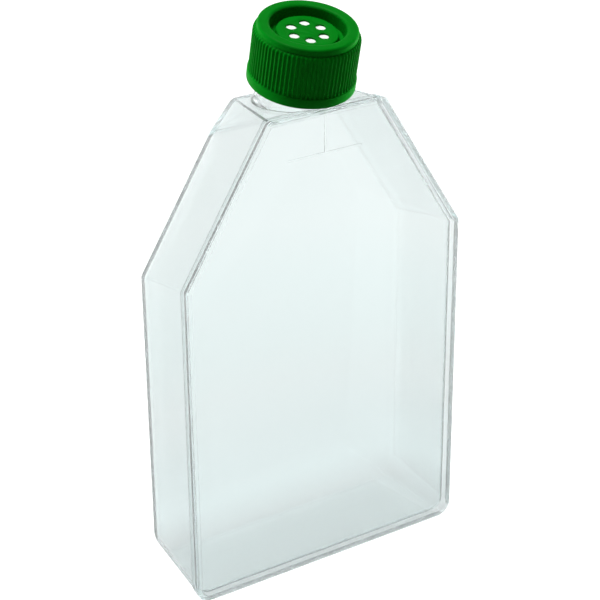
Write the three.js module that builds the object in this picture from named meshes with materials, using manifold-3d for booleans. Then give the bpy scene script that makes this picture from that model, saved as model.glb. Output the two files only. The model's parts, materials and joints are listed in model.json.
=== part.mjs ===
import * as THREE from 'three';
import { mergeVertices } from 'three/addons/utils/BufferGeometryUtils.js';
import Module from 'manifold-3d';

// Cell culture flask, standing on its end wall. Millimetres, +Z up, cover towards -Y.
// "Depth" runs from the front of the cover (0) to the back of the growth wall (DEPTH).

const wasm = await Module();
wasm.setup();

// Outline of the flask, seen from the front
const HALF_WIDTH = 60;
const HALF_WIDTH_BACK = 57.9;
const SHOULDER_Z = 132.9;
const TOP_Z = 189.7;
const DEPTH = 39.4;
const SHOULDER_SLOPE = 0.62;
const SHOULDER_DRAFT = 0.193;
const TOP_DRAFT = 0.0645;
const WALL = 1.8;

// Corner radii of that outline, at the front and at the back
const END_CORNER_FRONT = 6;
const END_CORNER_BACK = 12;
const SHOULDER_RADIUS = 3;
const TOP_RADIUS = 3;
const END_CORNER_STEPS = 12;
const SMALL_CORNER_STEPS = 4;
const MIN_INNER_RADIUS = 0.6;

// Tray
const SEAM_DEPTH = 4.7;
const SEAM_STEP = 0.45;
const BACK_EDGE_RADIUS = 1.6;
const CAVITY_EDGE_RADIUS = 1.1;
const EDGE_STEPS = 4;
const OPEN_FRONT = 6;

// Ramp of the back wall, rising to the neck, with a rounded crease where it starts
const RAMP_Z = 171.7;
const RAMP_SLOPE = 0.329;
const CREASE_RADIUS = 3.2;
const CREASE_STEPS = 4;
const CLEAR_OF_FLASK = 90;

// Cover
const RIM_WIDTH = 2.4;
const RECESS_DEPTH = 2.2;
const RECESS_DRAFT = 0.25;
const PANEL_BACK = 4.0;
const RIM_ROUND = 0.45;
const RECESS_FILLET = 0.2;
const SKIRT_WIDTH = 2.2;
const MARK_HALF_LENGTH = 15.8;
const MARK_Z = 172.5;
const MARK_TOP_Z = 186.9;
const MARK_LINE = 0.6;
const MARK_HEIGHT = 0.3;
const MARK_SINK = 0.4;

// Neck, canted towards the cover. Heights along its axis count from the foot of the cap.
const CANT = THREE.MathUtils.degToRad(13.3);
const NECK_DEPTH = 18;
const NECK_Z = 195.2;
const NECK_RADIUS = 16.3;
const BORE_RADIUS = 14.6;
const NECK_TOP = 17.0;
const NECK_FOOT = -16;
const BORE_FOOT = -14;
const NECK_TAPER = 6;
const NECK_CHAMFER = 0.4;
const NECK_FILLET = 1.5;
const NECK_FILLET_SINK = 0.5;
const NECK_FILLET_ARC = THREE.MathUtils.degToRad(300);
const NECK_FILLET_STEPS = 4;
const NECK_FILLET_SEGMENTS = 48;
const NECK_GAP = 0.3;
const NECK_SEGMENTS = 72;
const NECK_LOW_Z = 187.6;

// Cap: heights count from its foot
const CAP_HEIGHT = 22.85;
const CAP_FOOT_RADIUS = 19.9;
const CAP_FOOT_CHAMFER = 0.4;
const CAP_ROOT_RADIUS = 18.95;
const CAP_BAND = 3.95;
const CAP_BAND_ROUND = 0.3;
const CAP_BAND_SLOPE = 0.5;
const CAP_BORE = 18.1;
const CAP_BORE_LEAD = 0.6;
const CAP_SHOULDER_Z = 18;
const CAP_SHOULDER_RADIUS = 18.25;
const CAP_SHOULDER_RISE = 2.2;
const CAP_SHOULDER_STEPS = 3;
const CAP_TOP_ROUND = 1;
const CAP_TOP_STEPS = 3;

// Top of the cap: flat land, annular channel and, inside it, the vent disc
const LAND_INNER = 15.2;
const LAND_ROUND = 1.1;
const LAND_STEPS = 3;
const CHANNEL_OUTER = 13.75;
const CHANNEL_DRAFT = 0.35;
const CHANNEL_FLOOR = 18.4;
const CHANNEL_FILLET = 0.2;
const DISC_RADIUS = 11.2;
const DISC_ROUND = 0.2;
const DISC_HEIGHT = 20.1;
const PLATE_UNDER = 19.55;

// Inside of the cap: seat for the neck's rim, plug lip inside the rim, relief groove outside it
const SEAT_HEIGHT = 17.1;
const SEAT_OUTER = 16.7;
const GROOVE_TOP = 18.7;
const LIP_OUTER = 14.3;
const LIP_INNER = 13.2;
const LIP_FOOT = 14.6;
const LIP_LEAD = 0.4;
const LIP_EDGE = 0.3;
const WEB_UNDER = 17.2;
const PLATE_HOLLOW = 10.4;
const HOLLOW_SEGMENTS = 48;

// Grip ribs, rounded over at their tops
const RIB_COUNT = 76;
const RIB_CREST = 19.5;
const RIB_FOOT_WIDTH = 1.05;
const RIB_CREST_WIDTH = 0.5;
const RIB_SINK = 0.4;
const RIB_FOOT = 3.4;
const RIB_BEND_Z = 18.3;
const RIB_TOP_Z = 20.1;
const RIB_TOP_RADIUS = 18.45;
const RIB_STEPS = 2;

// Ring of vent holes
const VENT_COUNT = 6;
const VENT_RING = 6.2;
const VENT_RADIUS = 1.9;
const VENT_PHASE = 0.145;
const VENT_SEGMENTS = 24;

// Vent membrane
const MEMBRANE_RADIUS = 10.1;
const MEMBRANE_UNDER = 19.1;
const MEMBRANE_THICKNESS = 0.4;
const MEMBRANE_SEGMENTS = 64;

const MERGE_DISTANCE = 1e-5;
const CUT_PAST = 1;
const QUARTER = Math.PI / 2;

// Finishes
const CLEAR_PLASTIC = {
  color: 0xd3e6e6,
  roughness: 0.06,
  metalness: 0,
  transparent: true,
  opacity: 0.4,
};
const GREEN_PLASTIC = { color: 0x00821e, roughness: 0.4, metalness: 0 };
const WHITE_MEMBRANE = { color: 0xf1f4ef, roughness: 0.8, metalness: 0 };
const lerp = THREE.MathUtils.lerp;

// A closed solid from a geometry: vertices merged, needles dropped, faces turned outwards.
function solid(geometry) {
  const bare = geometry.clone();
  bare.deleteAttribute('normal');
  bare.deleteAttribute('uv');
  const merged = mergeVertices(bare, MERGE_DISTANCE);
  const position = merged.attributes.position;
  const source = merged.index.array;
  const kept = [];
  let volume = 0;
  const a = new THREE.Vector3();
  const b = new THREE.Vector3();
  const c = new THREE.Vector3();
  for (let i = 0; i < source.length; i += 3) {
    const [p, q, r] = [source[i], source[i + 1], source[i + 2]];
    if (p !== q && q !== r && r !== p) {
      kept.push(p, q, r);
      a.fromBufferAttribute(position, p);
      b.fromBufferAttribute(position, q);
      c.fromBufferAttribute(position, r);
      volume += a.dot(b.cross(c));
    }
  }
  if (volume < 0) {
    kept.reverse();
  }
  const mesh = new wasm.Mesh({
    numProp: 3,
    vertProperties: Float32Array.from(position.array),
    triVerts: Uint32Array.from(kept),
  });
  return new wasm.Manifold(mesh);
}

// The other way round: a three.js geometry from a finished solid.
function geometryOf(body) {
  const mesh = body.getMesh();
  const geometry = new THREE.BufferGeometry();
  geometry.setAttribute('position', new THREE.BufferAttribute(mesh.vertProperties, 3));
  geometry.setIndex(new THREE.BufferAttribute(mesh.triVerts, 1));
  geometry.computeVertexNormals();
  return geometry;
}

// A solid through a list of rings with equal point counts, its two end rings closed flat.
function loft(rings) {
  const count = rings[0].length;
  const positions = rings.flat(2);
  const index = [];
  for (let k = 0; k + 1 < rings.length; k += 1) {
    for (let i = 0; i < count; i += 1) {
      const j = (i + 1) % count;
      const low = k * count;
      const high = low + count;
      index.push(low + i, low + j, high + j);
      index.push(low + i, high + j, high + i);
    }
  }
  const last = (rings.length - 1) * count;
  for (let i = 1; i + 1 < count; i += 1) {
    index.push(0, i + 1, i);
    index.push(last, last + i, last + i + 1);
  }
  const geometry = new THREE.BufferGeometry();
  geometry.setAttribute('position', new THREE.Float32BufferAttribute(positions, 3));
  geometry.setIndex(index);
  return solid(geometry);
}

// Convex polygon with each corner rounded to its own radius.
function rounded(corners, radii, steps) {
  const points = [];
  corners.forEach((corner, i) => {
    const before = corners[(i + corners.length - 1) % corners.length];
    const after = corners[(i + 1) % corners.length];
    const toBefore = before.clone().sub(corner).normalize();
    const toAfter = after.clone().sub(corner).normalize();
    const half = Math.acos(THREE.MathUtils.clamp(toBefore.dot(toAfter), -1, 1)) / 2;
    const centre = toBefore.clone().add(toAfter).normalize();
    centre.multiplyScalar(radii[i] / Math.sin(half)).add(corner);
    const start = corner.clone().addScaledVector(toBefore, radii[i] / Math.tan(half)).sub(centre);
    const sweep = Math.PI - 2 * half;
    for (let k = 0; k <= steps[i]; k += 1) {
      points.push(start.clone().rotateAround(new THREE.Vector2(), (sweep * k) / steps[i]).add(centre));
    }
  });
  return points;
}

// Points of a quarter ellipse from start to end, leaving start along the axis 'x' or 'y'.
function quarter(start, end, leaving, steps) {
  const points = [];
  for (let k = 0; k <= steps; k += 1) {
    const angle = (QUARTER * k) / steps;
    const early = Math.sin(angle);
    const late = 1 - Math.cos(angle);
    const along = leaving === 'x' ? [early, late] : [late, early];
    points.push([lerp(start[0], end[0], along[0]), lerp(start[1], end[1], along[1])]);
  }
  return points;
}

// Outline of the flask at a depth, moved inwards by inset: drafted side walls, shoulder
// walls drafted more, a flat end wall and a top wall that falls towards the back.
// The step narrows every wall but the end wall, which stays level to stand on.
function outline(depth, inset, step = 0) {
  const along = depth / DEPTH;
  const side = lerp(HALF_WIDTH, HALF_WIDTH_BACK, along) - inset - step;
  const top = TOP_Z - TOP_DRAFT * depth - inset - step;
  const shoulderReach = HALF_WIDTH + SHOULDER_SLOPE * SHOULDER_Z - SHOULDER_DRAFT * depth
    - (inset + step) * Math.hypot(1, SHOULDER_SLOPE);
  const shoulder = (shoulderReach - side) / SHOULDER_SLOPE;
  const topHalf = shoulderReach - SHOULDER_SLOPE * top;
  const endRadius = Math.max(lerp(END_CORNER_FRONT, END_CORNER_BACK, along) - inset, MIN_INNER_RADIUS);
  const shoulderRadius = Math.max(SHOULDER_RADIUS - inset, MIN_INNER_RADIUS);
  const topRadius = Math.max(TOP_RADIUS - inset, MIN_INNER_RADIUS);
  const corners = [
    new THREE.Vector2(-side, inset),
    new THREE.Vector2(side, inset),
    new THREE.Vector2(side, shoulder),
    new THREE.Vector2(topHalf, top),
    new THREE.Vector2(-topHalf, top),
    new THREE.Vector2(-side, shoulder),
  ];
  const radii = [endRadius, endRadius, shoulderRadius, topRadius, topRadius, shoulderRadius];
  const steps = [
    END_CORNER_STEPS,
    END_CORNER_STEPS,
    SMALL_CORNER_STEPS,
    SMALL_CORNER_STEPS,
    SMALL_CORNER_STEPS,
    SMALL_CORNER_STEPS,
  ];
  return rounded(corners, radii, steps).map((p) => [p.x, depth - DEPTH / 2, p.y]);
}

// Rings from a front depth to a back depth: stepped in at the seam, the far edge rounded.
function walledRings(front, back, inset, edgeRadius) {
  const rings = [outline(front, inset, SEAM_STEP)];
  for (let k = 0; k <= EDGE_STEPS; k += 1) {
    const angle = (QUARTER * k) / EDGE_STEPS;
    const depth = back - edgeRadius + edgeRadius * Math.sin(angle);
    rings.push(outline(depth, inset + edgeRadius * (1 - Math.cos(angle))));
  }
  return rings;
}

// All that lies behind the back wall and its ramp, both moved inwards by offset: a profile in
// depth and height, drawn out sideways. The crease between the two is an arc tangent to both.
function behindBack(offset) {
  const tilt = Math.atan(RAMP_SLOPE);
  const radius = CREASE_RADIUS - offset;
  const back = DEPTH / 2 - offset;
  const creaseZ = RAMP_Z - offset * Math.tan(tilt / 2);
  const centreZ = creaseZ - radius * Math.tan(tilt / 2);
  const profile = [
    [back + CLEAR_OF_FLASK, RAMP_Z + CLEAR_OF_FLASK],
    [back - CLEAR_OF_FLASK * RAMP_SLOPE, creaseZ + CLEAR_OF_FLASK],
  ];
  for (let k = CREASE_STEPS; k >= 0; k -= 1) {
    const angle = (tilt * k) / CREASE_STEPS;
    profile.push([back - radius * (1 - Math.cos(angle)), centreZ + radius * Math.sin(angle)]);
  }
  profile.push([back, -CLEAR_OF_FLASK], [back + CLEAR_OF_FLASK, -CLEAR_OF_FLASK]);
  const ring = (x) => profile.map(([y, z]) => [x, y, z]);
  return loft([ring(-2 * HALF_WIDTH), ring(2 * HALF_WIDTH)]);
}

// Places a shape made on the +Z axis onto the canted axis of neck and cap.
const cantedAxis = new THREE.Matrix4()
  .makeTranslation(0, NECK_DEPTH - DEPTH / 2, NECK_Z)
  .multiply(new THREE.Matrix4().makeRotationX(CANT));

function revolve(profile, segments) {
  const points = profile.map(([radius, height]) => new THREE.Vector2(radius, height));
  const geometry = new THREE.LatheGeometry(points, segments);
  geometry.rotateX(Math.PI / 2);
  return geometry;
}

// Concave fillet round the foot of the neck, where it stands on the sloping top wall. Each
// section sits at one angle round the neck: its points are given by their distance from the
// neck's axis and their height over the top wall. It stops at the seam with the cover.
function neckFillet() {
  const seamY = SEAM_DEPTH - DEPTH / 2;
  const [sinCant, cosCant] = [Math.sin(CANT), Math.cos(CANT)];
  const seamTop = TOP_Z - TOP_DRAFT * SEAM_DEPTH - SEAM_STEP;
  const fall = TOP_DRAFT - SEAM_STEP / (DEPTH - BACK_EDGE_RADIUS - SEAM_DEPTH);
  const axisY = NECK_DEPTH - DEPTH / 2;
  const outer = NECK_RADIUS + NECK_FILLET;
  const inner = NECK_RADIUS - NECK_FILLET_SINK;
  const section = [
    [inner, NECK_FILLET],
    [inner, -NECK_FILLET_SINK],
    [outer, -NECK_FILLET_SINK],
    ...quarter([outer, 0], [NECK_RADIUS, NECK_FILLET], 'x', NECK_FILLET_STEPS),
  ];
  const rings = [];
  for (let k = 0; k <= NECK_FILLET_SEGMENTS; k += 1) {
    const angle = QUARTER + NECK_FILLET_ARC * (k / NECK_FILLET_SEGMENTS - 1 / 2);
    const sine = Math.sin(angle);
    rings.push(section.map(([radius, rise]) => {
      const wallZ = seamTop + rise - fall * (axisY - seamY);
      const drop = radius * sine * (sinCant + fall * cosCant);
      const height = (wallZ - NECK_Z - drop) / (cosCant - fall * sinCant);
      return [
        radius * Math.cos(angle),
        axisY + radius * sine * cosCant - height * sinCant,
        NECK_Z + radius * sine * sinCant + height * cosCant,
      ];
    }));
  }
  const beyondSeam = new THREE.BoxGeometry(2 * HALF_WIDTH, DEPTH, TOP_Z);
  beyondSeam.translate(0, seamY - DEPTH / 2, TOP_Z);
  return loft(rings).subtract(solid(beyondSeam));
}

// Tray: growth wall with its ramp, side, shoulder, end and top walls, and the neck, which
// tapers away below the ramp's upper edge, outside and in the bore alike.
function trayBody() {
  const shell = loft(walledRings(SEAM_DEPTH, DEPTH, 0, BACK_EDGE_RADIUS));
  const cavity = loft(
    walledRings(SEAM_DEPTH - OPEN_FRONT, DEPTH - WALL, WALL, CAVITY_EDGE_RADIUS),
  );
  const neckProfile = [
    [0, NECK_FOOT - NECK_TAPER],
    [NECK_RADIUS - NECK_TAPER, NECK_FOOT - NECK_TAPER],
    [NECK_RADIUS, NECK_FOOT],
    [NECK_RADIUS, NECK_TOP - NECK_CHAMFER],
    [NECK_RADIUS - NECK_CHAMFER, NECK_TOP],
    [0, NECK_TOP],
  ];
  const boreProfile = [
    [0, BORE_FOOT - NECK_TAPER],
    [BORE_RADIUS - NECK_TAPER, BORE_FOOT - NECK_TAPER],
    [BORE_RADIUS, BORE_FOOT],
    [BORE_RADIUS, NECK_TOP - NECK_CHAMFER],
    [BORE_RADIUS + 2 * NECK_CHAMFER, NECK_TOP + NECK_CHAMFER],
    [0, NECK_TOP + NECK_CHAMFER],
  ];
  const neck = solid(revolve(neckProfile, NECK_SEGMENTS).applyMatrix4(cantedAxis));
  const bore = solid(revolve(boreProfile, NECK_SEGMENTS).applyMatrix4(cantedAxis));
  const coverSpace = new THREE.BoxGeometry(2 * HALF_WIDTH, DEPTH, NECK_LOW_Z);
  coverSpace.translate(0, SEAM_DEPTH - DEPTH, NECK_LOW_Z / 2);
  return shell
    .subtract(behindBack(0))
    .add(neck)
    .subtract(solid(coverSpace))
    .add(neckFillet().subtract(behindBack(0)))
    .subtract(cavity.subtract(behindBack(WALL)))
    .subtract(bore);
}

// Cover: shallow lid with a skirt, a raised rim, a sunk panel and a T-shaped line on it.
function coverBody() {
  const rings = [
    outline(RECESS_DEPTH, RIM_WIDTH + RECESS_DRAFT + RECESS_FILLET),
    outline(RECESS_DEPTH - RECESS_FILLET, RIM_WIDTH + RECESS_DRAFT),
    outline(RECESS_FILLET, RIM_WIDTH),
    outline(0, RIM_WIDTH - RECESS_FILLET),
    outline(0, RIM_ROUND),
    outline(RIM_ROUND * (1 - Math.SQRT1_2), RIM_ROUND * (1 - Math.SQRT1_2)),
    outline(RIM_ROUND, 0),
    outline(SEAM_DEPTH, 0),
    outline(SEAM_DEPTH, SKIRT_WIDTH),
    outline(PANEL_BACK + RECESS_FILLET, SKIRT_WIDTH),
    outline(PANEL_BACK, SKIRT_WIDTH + RECESS_FILLET),
  ];
  const relief = [
    [0, NECK_FOOT],
    [NECK_RADIUS + NECK_GAP, NECK_FOOT],
    [NECK_RADIUS + NECK_GAP, NECK_TOP],
    [0, NECK_TOP],
  ];
  const aboveSkirt = new THREE.BoxGeometry(2 * HALF_WIDTH, 2 * DEPTH, 2 * NECK_TOP);
  aboveSkirt.translate(0, 0, NECK_LOW_Z - NECK_GAP + NECK_TOP);
  const reliefSolid = solid(revolve(relief, NECK_SEGMENTS).applyMatrix4(cantedAxis));
  const markFace = RECESS_DEPTH - DEPTH / 2;
  const markDepth = MARK_HEIGHT + MARK_SINK;
  const markMiddle = markFace - MARK_HEIGHT + markDepth / 2;
  const bar = new THREE.BoxGeometry(2 * MARK_HALF_LENGTH, markDepth, MARK_LINE);
  bar.translate(0, markMiddle, MARK_Z);
  const stem = new THREE.BoxGeometry(MARK_LINE, markDepth, MARK_TOP_Z - MARK_Z);
  stem.translate(0, markMiddle, (MARK_TOP_Z + MARK_Z) / 2);
  return loft(rings)
    .add(solid(bar))
    .add(solid(stem))
    .subtract(reliefSolid.intersect(solid(aboveSkirt)));
}

// Cap on the +Z axis: ribbed skirt with a smooth foot band, a rounded shoulder and a plain
// collar above it, a flat land, a deep channel and the thin vent disc inside the channel.
// Below lie the seat for the neck's rim and a plug lip inside it.
function capBody() {
  const floorOuter = CHANNEL_OUTER - CHANNEL_DRAFT;
  const floorInner = DISC_RADIUS + CHANNEL_DRAFT;
  const outside = [
    [0, 0],
    [CAP_FOOT_RADIUS - CAP_FOOT_CHAMFER, 0],
    [CAP_FOOT_RADIUS, CAP_FOOT_CHAMFER],
    [CAP_FOOT_RADIUS, CAP_BAND - CAP_BAND_ROUND],
    [CAP_FOOT_RADIUS - CAP_BAND_ROUND, CAP_BAND],
    [CAP_ROOT_RADIUS, CAP_BAND + CAP_BAND_SLOPE],
    ...quarter(
      [CAP_ROOT_RADIUS, CAP_SHOULDER_Z],
      [CAP_SHOULDER_RADIUS, CAP_SHOULDER_Z + CAP_SHOULDER_RISE],
      'y',
      CAP_SHOULDER_STEPS,
    ),
    ...quarter(
      [CAP_SHOULDER_RADIUS, CAP_HEIGHT - CAP_TOP_ROUND],
      [CAP_SHOULDER_RADIUS - CAP_TOP_ROUND, CAP_HEIGHT],
      'y',
      CAP_TOP_STEPS,
    ),
    ...quarter([LAND_INNER, CAP_HEIGHT], [CHANNEL_OUTER, CAP_HEIGHT - LAND_ROUND], 'x', LAND_STEPS),
    [floorOuter, CHANNEL_FLOOR + CHANNEL_FILLET],
    [floorOuter - CHANNEL_FILLET, CHANNEL_FLOOR],
    [floorInner + CHANNEL_FILLET, CHANNEL_FLOOR],
    [floorInner, CHANNEL_FLOOR + CHANNEL_FILLET],
    [DISC_RADIUS, DISC_HEIGHT - DISC_ROUND],
    [DISC_RADIUS - DISC_ROUND, DISC_HEIGHT],
    [0, DISC_HEIGHT],
  ];
  const hollow = [
    [0, -CUT_PAST],
    [CAP_BORE + CAP_BORE_LEAD, -CUT_PAST],
    [CAP_BORE + CAP_BORE_LEAD, 0],
    [CAP_BORE, CAP_BORE_LEAD],
    [CAP_BORE, GROOVE_TOP - LIP_EDGE],
    [CAP_BORE - LIP_EDGE, GROOVE_TOP],
    [SEAT_OUTER, GROOVE_TOP],
    [SEAT_OUTER, SEAT_HEIGHT],
    [LIP_OUTER, SEAT_HEIGHT],
    [LIP_OUTER, LIP_FOOT + LIP_LEAD],
    [LIP_OUTER - LIP_LEAD, LIP_FOOT],
    [LIP_INNER + LIP_EDGE, LIP_FOOT],
    [LIP_INNER, LIP_FOOT + LIP_EDGE],
    [LIP_INNER, WEB_UNDER],
    [PLATE_HOLLOW, WEB_UNDER],
    [PLATE_HOLLOW, PLATE_UNDER],
    [0, PLATE_UNDER],
  ];
  const parts = [
    solid(revolve(outside, RIB_COUNT)).subtract(solid(revolve(hollow, HOLLOW_SEGMENTS))),
  ];
  const ribDepth = RIB_CREST - CAP_ROOT_RADIUS + RIB_SINK;
  const crestLine = [
    [RIB_CREST, RIB_FOOT],
    ...quarter([RIB_CREST, RIB_BEND_Z], [RIB_TOP_RADIUS, RIB_TOP_Z], 'y', RIB_STEPS),
  ];
  for (let i = 0; i < RIB_COUNT; i += 1) {
    const angle = (2 * Math.PI * (i + 1 / 2)) / RIB_COUNT;
    const rings = crestLine.map(([crest, height]) => [
      [crest - ribDepth, -RIB_FOOT_WIDTH / 2, height],
      [crest, -RIB_CREST_WIDTH / 2, height],
      [crest, RIB_CREST_WIDTH / 2, height],
      [crest - ribDepth, RIB_FOOT_WIDTH / 2, height],
    ]);
    parts.push(loft(rings).rotate([0, 0, THREE.MathUtils.radToDeg(angle)]));
  }
  const vents = [];
  for (let i = 0; i < VENT_COUNT; i += 1) {
    const angle = VENT_PHASE + (2 * Math.PI * i) / VENT_COUNT;
    const vent = new THREE.CylinderGeometry(VENT_RADIUS, VENT_RADIUS, CAP_HEIGHT, VENT_SEGMENTS);
    vent.rotateX(Math.PI / 2);
    vent.translate(VENT_RING * Math.cos(angle), VENT_RING * Math.sin(angle), PLATE_UNDER);
    vents.push(solid(vent));
  }
  return wasm.Manifold.union(parts)
    .subtract(wasm.Manifold.union(vents))
    .transform(cantedAxis.elements);
}

// Vent membrane: thin disc under the vent holes, in the hollow of the vent disc.
function membraneBody() {
  const profile = [
    [0, MEMBRANE_UNDER],
    [MEMBRANE_RADIUS, MEMBRANE_UNDER],
    [MEMBRANE_RADIUS, MEMBRANE_UNDER + MEMBRANE_THICKNESS],
    [0, MEMBRANE_UNDER + MEMBRANE_THICKNESS],
  ];
  return solid(revolve(profile, MEMBRANE_SEGMENTS).applyMatrix4(cantedAxis));
}

const group = new THREE.Group();
group.name = 'cell_culture_flask';

function addPiece(name, body, material) {
  const mesh = new THREE.Mesh(geometryOf(body), material);
  mesh.name = name;
  group.add(mesh);
}

addPiece('tray', trayBody(), new THREE.MeshStandardMaterial(CLEAR_PLASTIC));
addPiece('cover', coverBody(), new THREE.MeshStandardMaterial(CLEAR_PLASTIC));
addPiece('cap', capBody(), new THREE.MeshStandardMaterial(GREEN_PLASTIC));
addPiece('vent_membrane', membraneBody(), new THREE.MeshStandardMaterial(WHITE_MEMBRANE));

export default group;
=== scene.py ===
import json
import math
import bmesh
import bpy
import numpy as np
from mathutils import Matrix, Vector

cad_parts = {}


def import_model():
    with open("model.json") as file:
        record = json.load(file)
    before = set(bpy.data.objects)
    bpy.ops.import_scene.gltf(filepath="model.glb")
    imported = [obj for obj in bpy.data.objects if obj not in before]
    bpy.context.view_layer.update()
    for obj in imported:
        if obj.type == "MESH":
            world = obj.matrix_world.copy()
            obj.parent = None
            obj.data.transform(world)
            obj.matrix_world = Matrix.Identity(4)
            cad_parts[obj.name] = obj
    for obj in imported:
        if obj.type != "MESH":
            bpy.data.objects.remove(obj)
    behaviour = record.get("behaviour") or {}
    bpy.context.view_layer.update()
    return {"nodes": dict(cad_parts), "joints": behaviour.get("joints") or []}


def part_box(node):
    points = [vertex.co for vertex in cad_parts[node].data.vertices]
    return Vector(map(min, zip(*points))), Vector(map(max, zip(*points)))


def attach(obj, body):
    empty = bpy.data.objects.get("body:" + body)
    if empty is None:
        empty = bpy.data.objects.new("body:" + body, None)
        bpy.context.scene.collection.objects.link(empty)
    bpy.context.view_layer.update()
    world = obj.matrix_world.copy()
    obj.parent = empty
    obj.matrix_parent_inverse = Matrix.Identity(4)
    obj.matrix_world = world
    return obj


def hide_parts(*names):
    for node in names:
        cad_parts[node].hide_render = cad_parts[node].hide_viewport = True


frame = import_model()
NODES = frame["nodes"]
MM = 0.001

# Neck and cap share the axis that the cap turns about, which is canted towards the cover. Heights
# along it count from the cap's foot, whose place is in metres.
CAP_JOINT = next(joint for joint in frame["joints"] if joint["name"] == "cap_turn")
CANT = math.atan2(-CAP_JOINT["axis"][1], CAP_JOINT["axis"][2])
AXIS_FOOT = np.array(CAP_JOINT["pos_m"])

# The plane where cover and tray meet and how far the tray's copy reaches past it, in metres
SEAM_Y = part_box("cover")[1].y
SEAM_TOLERANCE = 0.00002
SEAM_OVERLAP = 0.00004

# Distance at which a CAD copy's points are one, in metres, and angles past which an edge stays sharp
WELD = 0.000001
FLASK_SHARP = 50
CAP_SHARP = 38

# Outside of the cap, in millimetres: foot band, ribbed skirt, collar, land, ring channel with its
# wall, floor and corners, and vent disc
CAP_HEIGHT = 22.85
FOOT_RADIUS = 19.3
BAND_RADIUS = 19.9
BAND_BEVEL = 0.4
BAND_TOP = 3.5
BAND_SHOULDER = [19.6, 3.92]
BAND_SLOPE = [[19.4, 4.05], [19.24, 4.2], [19.13, 4.4]]
ROOT_RADIUS = 19.05
ROOT_FOOT = 4.7
SKIRT_RINGS = (5.4, 8.0, 12.0, 15.5, 17.2, 18.2)
SKIRT_TOP = 18.7
COLLAR_RADIUS = 18.25
COLLAR_FOOT = 20.2
COLLAR_RINGS = (20.32, 20.7, 21.3)
COLLAR_ROUND = 1.0
LAND_OUTER = 16.4
LAND_INNER = 15.2
LAND_ROUND = 1.1
CHANNEL_OUTER = 13.75
CHANNEL_WALL = [[13.68, 21.3], [13.55, 20.2], [13.44, 19.0]]
CHANNEL_FLOOR = 17.9
CHANNEL_CORNER = (0.35, 0.4)
FLOOR_OUTER = 13.4
FLOOR_MIDDLE = 12.4
FLOOR_INNER = 11.55
DISC_WALL = [11.35, 19.4]
DISC_RADIUS = 11.2
DISC_HEIGHT = 20.1
DISC_ROUND = 0.35

# Grip ribs: their count and depth, how square they are, and where they fade in and end
RIB_COUNT = 76
RIB_DEPTH = 0.46
RIB_SQUARENESS = 2.2
RIB_NARROWING = 0.15
RIB_FOOT = 3.75
RIB_FADE = 0.6
RIB_TOP = 20.3
RIB_ROUND = 1.3

# Points round the cap: for each rib outside, and outside points for each one inside
RIB_SAMPLES = 10
INNER_STEP = 4

# Inside of the cap: hollow under the vent plate, web, plug lip, rim seat, relief groove, bore
PLATE_EDGE = 10.5
PLATE_RADIUS = 9.9
PLATE_UNDER = 19.55
HOLLOW_RADIUS = 10.4
HOLLOW_ROUND = 0.2
HOLLOW_RING = 18.4
WEB_UNDER = 17.2
WEB_ROUND = 0.1
WEB_CHAMFER = 0.2
PLUG_INNER = 13.2
PLUG_OUTER = 14.3
PLUG_LEAD = 15.0
PLUG_LIP_INNER = ((13.25, 14.8), (13.55, 14.6))
PLUG_LIP_OUTER = ((13.9, 14.6), (14.3, 15.1))
SEAT_HEIGHT = 17.1
SEAT_OUTER = 16.7
SEAT_CHAMFER = 0.1
GROOVE_TOP = 18.7
GROOVE_OUTER = 17.9
BORE_RADIUS = 18.1
BORE_TOP = 18.5
BORE_RINGS = np.arange(16.0, 0.9, -0.22)
MOUTH_HEIGHT = 0.6
MOUTH_RADIUS = 18.7

# Vents, and the outline of their cutter counted from the vent's radius and the disc's height
VENT_COUNT = 6
VENT_RING = 6.2
VENT_RADIUS = 1.9
VENT_PHASE = 0.145
VENT_OUTLINE = np.array([[0, -1.2], [0, -0.14], [0.04, -0.05], [0.14, 0.01], [0.14, 1]])
VENT_SAMPLES = 40

# Screw thread, right-handed, one start
LEAD = 4.2
ROOT_WIDTH = 2.1
CREST_WIDTH = 0.9
RUN_IN = 0.125
CAP_THREAD = {"crest": 16.75, "first": 2.4, "turns": 2.25, "phase": math.pi}
NECK_THREAD = {"crest": 17.75, "first": 6.6, "turns": 1.75, "phase": 0.0}
NECK_RADIUS = 16.3

# Half section of the neck's ridge, from its root to its crest: parts of the root width and of the
# crest width, with the rise at each. Its root and its faded ends lie inside the neck's wall.
ROOT_FLANK = (1, 0.92)
CREST_FLANK = (1.25, 0.6)
FLANK_RISE = np.array([0, 0.28, 0.9, 1])
ROOT_SINK = 0.35
END_SINK = 0.15
RIDGE_SAMPLES = 96

# The part of a noise's range that a spread or a tint uses
SPREAD_SPAN = (0.3, 0.7)
TINT_SPAN = (0.35, 0.65)

# Floor and studio, in metres. Shades are (place, colour) from the flask's foot to the reach.
FLOOR_HALF = 6.0
FLOOR_DROP = 0.0003
FOOT_HALF = (0.058, 0.018, 0)
FLOOR_BOUNCE = 0.42
CLOSE_REACH = 0.5
CLOSE_MATT = 0.195
# Painted shadow round the flask's foot for rays through and off the flask: darkest under the foot, lighter
# further off
CLOSE_PAINTED_SHADOW = [(0, (0.43, 0.43, 0.435)), (0.05, (0.60, 0.64, 0.645)), (0.12, (0.565, 0.595, 0.60)),
                (0.2, (0.615, 0.62, 0.62)), (0.3, (0.615, 0.655, 0.655)), (0.4, (0.635, 0.68, 0.68)),
                (0.55, (0.71, 0.71, 0.71)), (1, (0.71, 0.71, 0.71))]
OPEN_REACH = 2.0
OPEN_MATT = 0.40
OPEN_SHADES = [(0, (0.75, 0.75, 0.75)), (0.15, (0.75, 0.75, 0.75)), (0.6, (1, 1, 1)), (1, (1, 1, 1))]
WORLD_LIGHT = 0.08
LAMP_AIM = (0, 0, 0.15)
CAMERA_AT = (-0.3341, -0.5269, 0.4133)
CAMERA_YAW, CAMERA_PITCH, CAMERA_ROLL = 32.37, 26.20, -0.49
CAMERA_LENS, CAMERA_SENSOR = 109.14, 36
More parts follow.
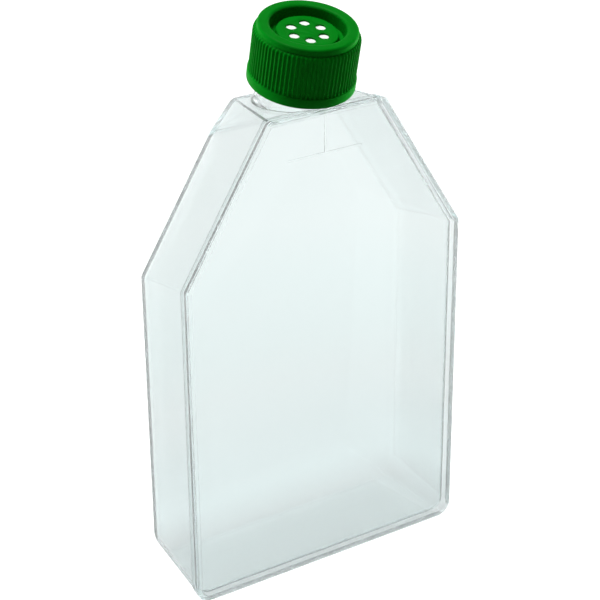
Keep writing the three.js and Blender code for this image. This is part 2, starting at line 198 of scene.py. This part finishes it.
CAMERA_CLIP = (0.01, 50)
BOUNCES = 32


def new_object(name, data):
    """An object for a mesh, a lamp or a camera, linked into the scene."""
    made = bpy.data.objects.new(name, data)
    bpy.context.scene.collection.objects.link(made)
    return made


def closed_object(name, points, faces):
    """A closed surface as an object, with its faces made to point outwards."""
    mesh = bpy.data.meshes.new(name)
    mesh.from_pydata(points.tolist(), [], faces)
    mesh.validate()
    mesh.update()
    work = bmesh.new()
    work.from_mesh(mesh)
    bmesh.ops.recalc_face_normals(work, faces=work.faces)
    work.to_mesh(mesh)
    work.free()
    return new_object(name, mesh)


def mesh_points(mesh):
    """The mesh's vertices as rows of x, y and z."""
    flat = np.zeros(len(mesh.vertices) * 3, np.float32)
    mesh.vertices.foreach_get("co", flat)
    return flat.reshape(-1, 3)


def place_points(mesh, points):
    """Gives the mesh's vertices new places."""
    mesh.vertices.foreach_set("co", points.astype(np.float32).ravel())
    mesh.update()


def canted(points):
    """Points about the +Z axis, in millimetres, turned by the cant about X and moved to the cap's foot
    on the neck's axis, in metres."""
    x, y, z = points.T
    s, c = math.sin(CANT), math.cos(CANT)
    turned = np.stack([x, y * c - z * s, y * s + z * c], axis=1)
    return turned * MM + AXIS_FOOT


def around(count):
    """Angles of equal steps round a full turn, as one row."""
    return np.linspace(0, 2 * math.pi, count, endpoint=False)[None, :]


def quarter(start, end, leaving, steps):
    """Quarter ellipse from start to end that leaves start along r ('r') or along h ('h')."""
    a = np.linspace(0, math.pi / 2, steps + 1)
    early, late = np.sin(a), 1 - np.cos(a)
    u, v = (early, late) if leaving == "r" else (late, early)
    return np.stack([start[0] + (end[0] - start[0]) * u, start[1] + (end[1] - start[1]) * v], axis=1)


def upright(radius, heights):
    """Points of an outline at one radius and several heights."""
    return [[radius, height] for height in heights]


def ring_points(r, h, theta):
    """Points (r cos theta, r sin theta, h) of a stack of rings, ring after ring."""
    return np.stack([r * np.cos(theta), r * np.sin(theta), h + 0 * theta], axis=2).reshape(-1, 3)


def wall_faces(first, rings, count):
    """Quads from each ring of a stack to the next, for rings of equal count that start at index first."""
    low = first + np.arange((rings - 1) * count).reshape(-1, count)
    beside = np.roll(low, -1, axis=1)
    return np.stack([low, beside, beside + count, low + count], axis=2).reshape(-1, 4).tolist()


def step_faces(fine, coarse, count, step):
    """Triangles between a ring of count * step points and a ring of count points inside it: a fan of
    step triangles at each coarse point, and one that closes the gap to the next."""
    turn = np.arange(count * step)
    fan = np.stack([fine + turn, fine + (turn + 1) % (count * step), coarse + turn // step], axis=1)
    here = np.arange(count)
    beside = (here + 1) % count
    close = np.stack([coarse + here, fine + beside * step, coarse + beside], axis=1)
    return np.concatenate([fan, close])


def smooth_step(share):
    """3 s^2 - 2 s^3, for shares s from 0 to 1."""
    return share * share * (3 - 2 * share)


def helix_height(theta, height, thread):
    """Height of a thread's ridge, 0 to 1, at each angle and height: from one inside the crest width to
    zero outside the root width, and faded out over the run-in at both ends."""
    turn = (theta - thread["phase"]) / (2 * math.pi) % 1.0
    nearest = np.round((height - thread["first"]) / LEAD - turn) + turn
    off = np.abs(height - thread["first"] - LEAD * nearest)
    ridge = np.clip((ROOT_WIDTH / 2 - off) / (ROOT_WIDTH / 2 - CREST_WIDTH / 2), 0, 1)
    fade = np.clip(np.minimum(nearest, thread["turns"] - nearest) / RUN_IN, 0, 1)
    return smooth_step(ridge) * fade


def rib_height(theta, height):
    """Height of the grip ribs, 0 to 1: the tanh of a cosine round the skirt, faded in over the foot
    band's slope and ended by a quarter round just under the collar."""
    comb = np.tanh(RIB_SQUARENESS * (np.cos(theta * RIB_COUNT) - RIB_NARROWING))
    comb = np.clip(0.5 + 0.5 * comb / math.tanh(RIB_SQUARENESS * (1 - RIB_NARROWING)), 0, 1)
    foot = np.clip((height - RIB_FOOT) / RIB_FADE, 0, 1)
    end = np.clip((RIB_TOP - height) / RIB_ROUND, 0, 1)
    return comb * smooth_step(foot) * np.sqrt(1 - (1 - end) ** 2)


def cap_outside():
    """Outline of the cap's outside as radius and height: up the foot band and the skirt, over the collar
    and the land, and through the ring channel to the face of the vent disc."""
    collar_top = CAP_HEIGHT - COLLAR_ROUND
    disc_edge = DISC_HEIGHT - DISC_ROUND
    corner, rise = CHANNEL_CORNER
    return np.concatenate([
        [[FOOT_RADIUS, 0]],
        quarter((BAND_RADIUS - BAND_BEVEL, 0), (BAND_RADIUS, BAND_BEVEL), "r", steps=3),
        quarter((BAND_RADIUS, BAND_TOP), BAND_SHOULDER, "h", steps=3),
        BAND_SLOPE,
        upright(ROOT_RADIUS, (ROOT_FOOT, *SKIRT_RINGS)),
        quarter((ROOT_RADIUS, SKIRT_TOP), (COLLAR_RADIUS, COLLAR_FOOT), "h", steps=14),
        upright(COLLAR_RADIUS, COLLAR_RINGS),
        quarter((COLLAR_RADIUS, collar_top), (COLLAR_RADIUS - COLLAR_ROUND, CAP_HEIGHT), "h", steps=9),
        [[LAND_OUTER, CAP_HEIGHT]],
        quarter((LAND_INNER, CAP_HEIGHT), (CHANNEL_OUTER, CAP_HEIGHT - LAND_ROUND), "r", steps=8),
        CHANNEL_WALL,
        quarter((FLOOR_OUTER, CHANNEL_FLOOR + rise), (FLOOR_OUTER - corner, CHANNEL_FLOOR), "h", steps=4),
        [[FLOOR_MIDDLE, CHANNEL_FLOOR]],
        quarter((FLOOR_INNER + corner, CHANNEL_FLOOR), (FLOOR_INNER, CHANNEL_FLOOR + rise), "r", steps=4),
        [DISC_WALL],
        quarter((DISC_RADIUS, disc_edge), (DISC_RADIUS - DISC_ROUND, DISC_HEIGHT), "h", steps=5),
    ])


def cap_inside():
    """Outline of the cap's inside as radius and height: a ring on the vent disc's face, then from the
    plate's underside round the plug lip, over the rim seat and the groove, and down the bore."""
    hollow_edge = HOLLOW_RADIUS - HOLLOW_ROUND
    return np.concatenate([
        [[PLATE_EDGE, DISC_HEIGHT]],
        [[PLATE_RADIUS, PLATE_UNDER]],
        quarter((hollow_edge, PLATE_UNDER), (HOLLOW_RADIUS, PLATE_UNDER - HOLLOW_ROUND), "r", steps=2),
        [[HOLLOW_RADIUS, HOLLOW_RING]],
        quarter((HOLLOW_RADIUS, WEB_UNDER + WEB_ROUND), (HOLLOW_RADIUS + WEB_ROUND, WEB_UNDER), "h", steps=2),
        [[PLUG_INNER - WEB_CHAMFER, WEB_UNDER], [PLUG_INNER, WEB_UNDER - WEB_CHAMFER]],
        [[PLUG_INNER, PLUG_LEAD]],
        quarter(*PLUG_LIP_INNER, "h", steps=2),
        quarter(*PLUG_LIP_OUTER, "r", steps=3),
        [[PLUG_OUTER, SEAT_HEIGHT - SEAT_CHAMFER], [PLUG_OUTER + SEAT_CHAMFER, SEAT_HEIGHT]],
        [[SEAT_OUTER, SEAT_HEIGHT]],
        [[SEAT_OUTER, GROOVE_TOP - SEAT_CHAMFER], [SEAT_OUTER + SEAT_CHAMFER, GROOVE_TOP]],
        [[GROOVE_OUTER, GROOVE_TOP]],
        upright(BORE_RADIUS, (BORE_TOP, *BORE_RINGS, MOUTH_HEIGHT)),
        [[MOUTH_RADIUS, 0]],
    ])


def cap_surface():
    """Closed surface of revolution. Outside: the outer outline turned in fine steps, with the rib comb
    added to its radius from the collar outwards. Inside: the inner outline turned in coarser steps, with
    the thread's ridge taken from the radius of its bore. The two are stitched at the foot and on the
    vent disc's face."""
    hair = 0.01
    fine = RIB_COUNT * RIB_SAMPLES
    coarse = fine // INNER_STEP
    outside, inside = cap_outside(), cap_inside()

    theta = around(fine)
    r, h = outside[:, 0:1], outside[:, 1:2]
    ribs = np.where(r > COLLAR_RADIUS - hair, RIB_DEPTH * rib_height(theta, h), 0)
    outer_points = ring_points(r + ribs, h, theta)

    theta = around(coarse)
    r, h = inside[:, 0:1], inside[:, 1:2]
    ridge_depth = BORE_RADIUS - CAP_THREAD["crest"]
    thread = np.where(np.abs(r - BORE_RADIUS) < hair, ridge_depth * helix_height(theta, h, CAP_THREAD), 0)
    inner_points = ring_points(r - thread, h, theta)

    disc_ring = len(outer_points)
    plate_ring = disc_ring + coarse
    mouth_ring = disc_ring + len(inner_points) - coarse
    faces = wall_faces(0, len(outside), fine)
    faces += wall_faces(plate_ring, len(inside) - 1, coarse)
    faces += step_faces(disc_ring - fine, disc_ring, coarse, INNER_STEP).tolist()
    faces.append((disc_ring + np.arange(coarse)).tolist())
    faces.append((plate_ring + np.arange(coarse))[::-1].tolist())
    faces += step_faces(0, mouth_ring, coarse, INNER_STEP)[:, ::-1].tolist()
    return np.concatenate([outer_points, inner_points]), faces


def vent_cutters():
    """Round cutters at equal steps on a ring: one outline of radius and height turned about each
    centre, flared just under the disc's face for a soft rim."""
    outline = VENT_OUTLINE + (VENT_RADIUS, DISC_HEIGHT)
    one = ring_points(outline[:, 0:1], outline[:, 1:2], around(VENT_SAMPLES))
    at = VENT_PHASE + around(VENT_COUNT).T
    centres = VENT_RING * np.concatenate([np.cos(at), np.sin(at), 0 * at], axis=1)
    points = (centres[:, None, :] + one).reshape(-1, 3)
    ring = np.arange(VENT_SAMPLES)
    faces = []
    for first in range(0, len(points), len(one)):
        faces += wall_faces(first, len(outline), VENT_SAMPLES)
        faces.append((first + ring)[::-1].tolist())
        faces.append((first + len(one) - VENT_SAMPLES + ring).tolist())
    return points, faces


def thread_ridge():
    """Closed ridge swept along a helix on the neck: a rounded trapezoid section whose crest sinks into
    the neck at both ends, with the square root of the way over the run-in."""
    turns = NECK_THREAD["turns"]
    steps = int(turns * RIDGE_SAMPLES)
    t = np.linspace(0, turns, steps + 1)[:, None]
    fade = np.clip(np.minimum(t, turns - t) / RUN_IN, 0, 1)
    foot, end = NECK_RADIUS - ROOT_SINK, NECK_RADIUS - END_SINK
    crest = end + (NECK_THREAD["crest"] - end) * np.sqrt(fade)
    flank = np.concatenate([np.multiply(ROOT_FLANK, ROOT_WIDTH), np.multiply(CREST_FLANK, CREST_WIDTH)]) / 2
    across = np.concatenate([-flank, flank[::-1]])
    rise = np.concatenate([FLANK_RISE, FLANK_RISE[::-1]])
    heights = NECK_THREAD["first"] + LEAD * t + across
    points = ring_points(foot + (crest - foot) * rise, heights, 2 * math.pi * t)
    section = np.arange(len(across))
    faces = wall_faces(0, steps + 1, len(across))
    faces.append(section.tolist())
    faces.append((len(points) - len(across) + section)[::-1].tolist())
    return points, faces


def boolean(target, cutter, operation):
    """The target's mesh joined with or cut by the cutter's. The cutter is used up."""
    mod = target.modifiers.new("join", "BOOLEAN")
    mod.operation = operation
    mod.solver = "EXACT"
    mod.object = cutter
    bpy.context.view_layer.update()
    made = bpy.data.meshes.new_from_object(target.evaluated_get(bpy.context.evaluated_depsgraph_get()))
    target.modifiers.remove(mod)
    used = [target.data, cutter.data]
    target.data = made
    bpy.data.objects.remove(cutter)
    for mesh in used:
        bpy.data.meshes.remove(mesh)


def smoothed(mesh, sharp):
    """Smooth shading, with edges past an angle left sharp."""
    mesh.shade_smooth()
    mesh.set_sharp_from_angle(angle=math.radians(sharp))


def new_tree(owner):
    """The empty node tree of a material or world."""
    owner.use_nodes = True
    owner.node_tree.nodes.clear()
    return owner.node_tree


def add_node(tree, kind, values):
    """A shader node with some of its inputs set, given by name."""
    made = tree.nodes.new(kind)
    for name, value in values.items():
        made.inputs[name].default_value = value
    return made


def grain(tree, scale, detail, rough=0.5):
    """Three-dimensional noise on Object coordinates, with its scale counted per metre."""
    coord = tree.nodes.new("ShaderNodeTexCoord")
    made = add_node(tree, "ShaderNodeTexNoise", {"Scale": scale, "Detail": detail, "Roughness": rough})
    tree.links.new(coord.outputs["Object"], made.inputs["Vector"])
    return made.outputs[0]


def spread(tree, noise, low, high, target):
    """The middle of a noise's range spread over another range and given to a socket."""
    span = {"From Min": SPREAD_SPAN[0], "From Max": SPREAD_SPAN[1], "To Min": low, "To Max": high}
    made = add_node(tree, "ShaderNodeMapRange", span)
    tree.links.new(noise, made.inputs["Value"])
    tree.links.new(made.outputs[0], target)


def tinted(tree, noise, low, high, target):
    """Two near colours mixed by noise and given to a socket."""
    ramp = tree.nodes.new("ShaderNodeValToRGB")
    for stop, place, colour in zip(ramp.color_ramp.elements, TINT_SPAN, (low, high)):
        stop.position = place
        stop.color = (*colour, 1)
    tree.links.new(noise, ramp.inputs[0])
    tree.links.new(ramp.outputs[0], target)


def bumped(tree, noise, strength, depth, target):
    """Noise as the height of a bump, its depth in metres."""
    made = add_node(tree, "ShaderNodeBump", {"Strength": strength, "Distance": depth})
    tree.links.new(noise, made.inputs["Height"])
    tree.links.new(made.outputs[0], target)


def mixed(tree, share, first, second):
    """Two shaders mixed by a share: the first at 0, the second at 1."""
    made = tree.nodes.new("ShaderNodeMixShader")
    for socket, source in zip(made.inputs, (share, first, second)):
        tree.links.new(source, socket)
    return made.outputs[0]


def ray_kinds(tree, wanted):
    """Largest of some Light Path outputs: 1 for a ray of any of those kinds."""
    path = tree.nodes.new("ShaderNodeLightPath")
    last = path.outputs[wanted[0]]
    for kind in wanted[1:]:
        largest = tree.nodes.new("ShaderNodeMath")
        largest.operation = "MAXIMUM"
        tree.links.new(last, largest.inputs[0])
        tree.links.new(path.outputs[kind], largest.inputs[1])
        last = largest.outputs[0]
    return last


def clear_plastic():
    """Clear polystyrene: a Principled glass with a faint green-blue in its walls. Shadow rays pass
    straight through a pale tint."""
    made = bpy.data.materials.new("clear_polystyrene")
    tree = new_tree(made)
    out = tree.nodes.new("ShaderNodeOutputMaterial")
    glass = add_node(tree, "ShaderNodeBsdfPrincipled", {"Transmission Weight": 1, "IOR": 1.27, "Alpha": 0.85})
    tint = add_node(tree, "ShaderNodeBsdfTransparent", {"Color": (0.90, 0.93, 0.93, 1)})
    shadow = ray_kinds(tree, ["Is Shadow Ray"])
    tree.links.new(mixed(tree, shadow, glass.outputs[0], tint.outputs[0]), out.inputs["Surface"])
    depth = add_node(tree, "ShaderNodeVolumeAbsorption", {"Color": (0.45, 0.80, 0.80, 1), "Density": 6})
    tree.links.new(depth.outputs[0], out.inputs["Volume"])
    # Flow of the moulding: slow waves in the surface and a roughness that drifts with them
    flow = grain(tree, scale=22, detail=1)
    bumped(tree, flow, strength=0.2, depth=0.0002, target=glass.inputs["Normal"])
    spread(tree, flow, low=0.012, high=0.028, target=glass.inputs["Roughness"])
    tinted(tree, grain(tree, scale=9, detail=0), low=(0.946, 0.990, 0.986), high=(0.958, 0.994, 0.990),
           target=glass.inputs["Base Color"])
    return made


def green_plastic():
    """Green polyethylene with the satin of an eroded mould."""
    made = bpy.data.materials.new("green_polyethylene")
    tree = new_tree(made)
    out = tree.nodes.new("ShaderNodeOutputMaterial")
    satin = add_node(tree, "ShaderNodeBsdfPrincipled", {"Specular IOR Level": 0.02})
    tree.links.new(satin.outputs[0], out.inputs["Surface"])
    # Fine grain for the bump, broader clouds for colour and gloss
    fine = grain(tree, scale=3200, detail=3, rough=0.6)
    broad = grain(tree, scale=160, detail=2)
    bumped(tree, fine, strength=0.2, depth=0.00002, target=satin.inputs["Normal"])
    spread(tree, broad, low=0.36, high=0.46, target=satin.inputs["Roughness"])
    tinted(tree, broad, low=(0.0003, 0.180, 0.006), high=(0.0005, 0.200, 0.008),
           target=satin.inputs["Base Color"])
    return made


def white_membrane():
    """White filter membrane: one fine felted noise for its nap, gloss and colour."""
    made = bpy.data.materials.new("vent_membrane_white")
    tree = new_tree(made)
    out = tree.nodes.new("ShaderNodeOutputMaterial")
    matt = tree.nodes.new("ShaderNodeBsdfPrincipled")
    tree.links.new(matt.outputs[0], out.inputs["Surface"])
    felt = grain(tree, scale=5200, detail=6, rough=0.7)
    bumped(tree, felt, strength=0.5, depth=0.00008, target=matt.inputs["Normal"])
    spread(tree, felt, low=0.82, high=0.96, target=matt.inputs["Roughness"])
    tinted(tree, felt, low=(0.86, 0.91, 0.88), high=(0.92, 0.96, 0.935), target=matt.inputs["Base Color"])
    return made


CLEAR = clear_plastic()
GREEN = green_plastic()
WHITE = white_membrane()


def merged_copy(node, name):
    """A welded copy of a CAD node's mesh, without the normals that came with it."""
    mesh = NODES[node].data.copy()
    mesh.name = name
    mesh.materials.clear()
    work = bmesh.new()
    work.from_mesh(mesh)
    bmesh.ops.remove_doubles(work, verts=work.verts, dist=WELD)
    work.to_mesh(mesh)
    work.free()
    for attribute in [a.name for a in mesh.attributes if "normal" in a.name]:
        mesh.attributes.remove(mesh.attributes[attribute])
    return new_object(name, mesh)


def flask_piece(node, name):
    """A clear copy of a CAD node that stands in for it on the flask's body."""
    made = merged_copy(node, name)
    made.data.materials.append(CLEAR)
    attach(made, "flask")
    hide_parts(node)
    return made


def even_normals(piece):
    """Smooth shading weighted by face area, so that flat walls stay flat up to their rounds."""
    smoothed(piece.data, FLASK_SHARP)
    mod = piece.modifiers.new("even normals", "WEIGHTED_NORMAL")
    mod.mode = "FACE_AREA"
    mod.keep_sharp = True


def flask_tray():
    """The tray with its neck thread. Its rim reaches a hair past the seam, so that the clear faces of
    tray and cover don't lie in one plane."""
    tray = flask_piece("tray", "flask_tray")
    points = mesh_points(tray.data)
    points[np.abs(points[:, 1] - SEAM_Y) < SEAM_TOLERANCE, 1] -= SEAM_OVERLAP
    place_points(tray.data, points)
    points, faces = thread_ridge()
    boolean(tray, closed_object("neck_ridge", canted(points), faces), "UNION")
    even_normals(tray)


def flask_cover():
    """The cover, as the CAD has it."""
    even_normals(flask_piece("cover", "flask_cover"))


def screw_cap():
    """The cap's surface with its vents cut, brought to the neck's axis."""
    cap = closed_object("screw_cap_body", *cap_surface())
    boolean(cap, closed_object("vents", *vent_cutters()), "DIFFERENCE")
    place_points(cap.data, canted(mesh_points(cap.data)))
    cap.data.materials.clear()
    cap.data.materials.append(GREEN)
    smoothed(cap.data, CAP_SHARP)
    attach(cap, "screw_cap")
    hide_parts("cap")


def vent_membrane():
    """The CAD's own membrane in white."""
    materials = NODES["vent_membrane"].data.materials
    materials.clear()
    materials.append(WHITE)


def vector_step(tree, operation, value, other=(0, 0, 0)):
    """One step of vector arithmetic on a value and a fixed vector."""
    made = tree.nodes.new("ShaderNodeVectorMath")
    made.operation = operation
    made.inputs[1].default_value = other
    tree.links.new(value, made.inputs[0])
    return made


def footprint_shade(tree, shades, reach):
    """Grey that changes from the flask's foot to the open floor: the distance to the foot's rectangle,
    counted in parts of a reach, on a ramp. With the close shades it is a painted shadow round the foot;
    with the open shades it fades the floor to white far off."""
    coord = tree.nodes.new("ShaderNodeTexCoord")
    size = vector_step(tree, "ABSOLUTE", coord.outputs["Object"])
    past = vector_step(tree, "SUBTRACT", size.outputs["Vector"], FOOT_HALF)
    outside = vector_step(tree, "MAXIMUM", past.outputs["Vector"])
    distance = vector_step(tree, "LENGTH", outside.outputs["Vector"])
    part = tree.nodes.new("ShaderNodeMath")
    part.operation = "DIVIDE"
    part.inputs[1].default_value = reach
    tree.links.new(distance.outputs["Value"], part.inputs[0])
    ramp = tree.nodes.new("ShaderNodeValToRGB")
    stops = ramp.color_ramp.elements
    for place, _ in shades[1:-1]:
        stops.new(place)
    for stop, (_, colour) in zip(stops, shades):
        stop.color = (*colour, 1)
    tree.links.new(part.outputs[0], ramp.inputs[0])
    return ramp.outputs[0]


def glowing(tree, shade, matt):
    """Even glow in a shade plus a matt share that takes the lamps and the object's shadow."""
    glow = add_node(tree, "ShaderNodeEmission", {"Strength": 1})
    tree.links.new(shade, glow.inputs["Color"])
    body = add_node(tree, "ShaderNodeBsdfDiffuse", {"Color": (matt, matt, matt, 1)})
    both = tree.nodes.new("ShaderNodeAddShader")
    tree.links.new(glow.outputs[0], both.inputs[0])
    tree.links.new(body.outputs[0], both.inputs[1])
    return both.outputs[0]


def floor():
    """A wide square just under the flask: plain grey to diffuse rays, the close shades to rays that come
    through or off the flask, and the open shades to the camera. The close shades are a painted shadow,
    darkest at the flask's foot and lighter further off."""
    corners = np.array([(-1, -1), (1, -1), (1, 1), (-1, 1)]) * FLOOR_HALF
    mesh = bpy.data.meshes.new("floor")
    mesh.from_pydata([(x, y, -FLOOR_DROP) for x, y in corners], [], [(0, 1, 2, 3)])
    paint = bpy.data.materials.new("pale_floor")
    mesh.materials.append(paint)
    tree = new_tree(paint)
    out = tree.nodes.new("ShaderNodeOutputMaterial")
    grey = (FLOOR_BOUNCE, FLOOR_BOUNCE, FLOOR_BOUNCE, 1)
    plain = add_node(tree, "ShaderNodeBsdfDiffuse", {"Color": grey}).outputs[0]
    # Painted shadow round the foot, seen through and in the flask; the matt share keeps the real shadow
    close = glowing(tree, footprint_shade(tree, CLOSE_PAINTED_SHADOW, CLOSE_REACH), CLOSE_MATT)
    far = glowing(tree, footprint_shade(tree, OPEN_SHADES, OPEN_REACH), OPEN_MATT)
    bent = mixed(tree, ray_kinds(tree, ["Is Glossy Ray", "Is Transmission Ray"]), plain, close)
    seen = mixed(tree, ray_kinds(tree, ["Is Camera Ray"]), bent, far)
    tree.links.new(seen, out.inputs["Surface"])
    made = new_object("floor", mesh)


def background(tree, strength):
    """An even white background."""
    made = add_node(tree, "ShaderNodeBackground", {"Color": (1, 1, 1, 1), "Strength": strength})
    return made.outputs[0]


def sky(tree, overhead, white_below, grey_above):
    """A background by the sine of the elevation: white below one place on it, an overhead grey above
    another, and even between."""
    coord = tree.nodes.new("ShaderNodeTexCoord")
    split = tree.nodes.new("ShaderNodeSeparateXYZ")
    tree.links.new(coord.outputs["Generated"], split.inputs[0])
    ramp = tree.nodes.new("ShaderNodeValToRGB")
    for stop, place, grey in zip(ramp.color_ramp.elements, (white_below, grey_above), (1, overhead)):
        stop.position = place
        stop.color = (grey, grey, grey, 1)
    tree.links.new(split.outputs["Z"], ramp.inputs[0])
    made = add_node(tree, "ShaderNodeBackground", {"Strength": 1})
    tree.links.new(ramp.outputs[0], made.inputs["Color"])
    return made.outputs[0]


def world():
    """White to the camera, a weak even light to diffuse rays, and skies that darken upwards to glossy
    and to transmission rays."""
    made = bpy.data.worlds.new("studio")
    bpy.context.scene.world = made
    tree = new_tree(made)
    out = tree.nodes.new("ShaderNodeOutputWorld")
    last = background(tree, WORLD_LIGHT)
    skies = (("Is Glossy Ray", sky(tree, overhead=0.2, white_below=0.2, grey_above=0.65)),
             ("Is Transmission Ray", sky(tree, overhead=0.6, white_below=0.3, grey_above=0.8)),
             ("Is Camera Ray", background(tree, 1)))
    for kind, seen in skies:
        last = mixed(tree, ray_kinds(tree, [kind]), last, seen)
    tree.links.new(last, out.inputs["Surface"])


def lamp(name, at, size, watts):
    """A rectangular lamp aimed at the flask, a little above its middle."""
    data = bpy.data.lights.new(name, "AREA")
    data.shape = "RECTANGLE"
    data.size, data.size_y = size
    data.energy = watts
    made = new_object(name, data)
    made.location = at
    made.rotation_euler = (Vector(LAMP_AIM) - Vector(at)).to_track_quat("-Z", "Y").to_euler()
    return made


def camera():
    """The scene's camera: yaw turns it from +Y towards +X, pitch tips it down and roll turns it about
    its own line of sight."""
    data = bpy.data.cameras.new("camera")
    data.sensor_width = CAMERA_SENSOR
    data.lens = CAMERA_LENS
    data.clip_start, data.clip_end = CAMERA_CLIP
    made = new_object("camera", data)
    yaw, pitch, roll = (math.radians(v) for v in (CAMERA_YAW, CAMERA_PITCH, CAMERA_ROLL))
    ahead = Vector((math.sin(yaw) * math.cos(pitch), math.cos(yaw) * math.cos(pitch), -math.sin(pitch)))
    level = Vector((math.cos(yaw), -math.sin(yaw), 0))
    lift = level.cross(ahead)
    right = math.cos(roll) * level + math.sin(roll) * lift
    up = -math.sin(roll) * level + math.cos(roll) * lift
    turn = Matrix((right, up, -ahead)).transposed()
    made.matrix_world = Matrix.Translation(CAMERA_AT) @ turn.to_4x4()
    bpy.context.scene.camera = made


flask_tray()
flask_cover()
screw_cap()
vent_membrane()

floor()
world()
lamp("top", at=(-0.08, 0.2, 1.2), size=(0.5, 0.5), watts=12.5)
left = lamp("left", at=(-0.75, 0.8, 0.11), size=(0.5, 0.2), watts=16)
right = lamp("right", at=(0.95, 0.05, 0.11), size=(0.5, 0.2), watts=22)
for side in (left, right):
    side.visible_glossy = False
    side.visible_transmission = False
camera()
scene = bpy.context.scene
scene.view_settings.view_transform = "Standard"
scene.cycles.max_bounces = BOUNCES
scene.cycles.glossy_bounces = BOUNCES
scene.cycles.transmission_bounces = BOUNCES
scene.cycles.transparent_max_bounces = BOUNCES
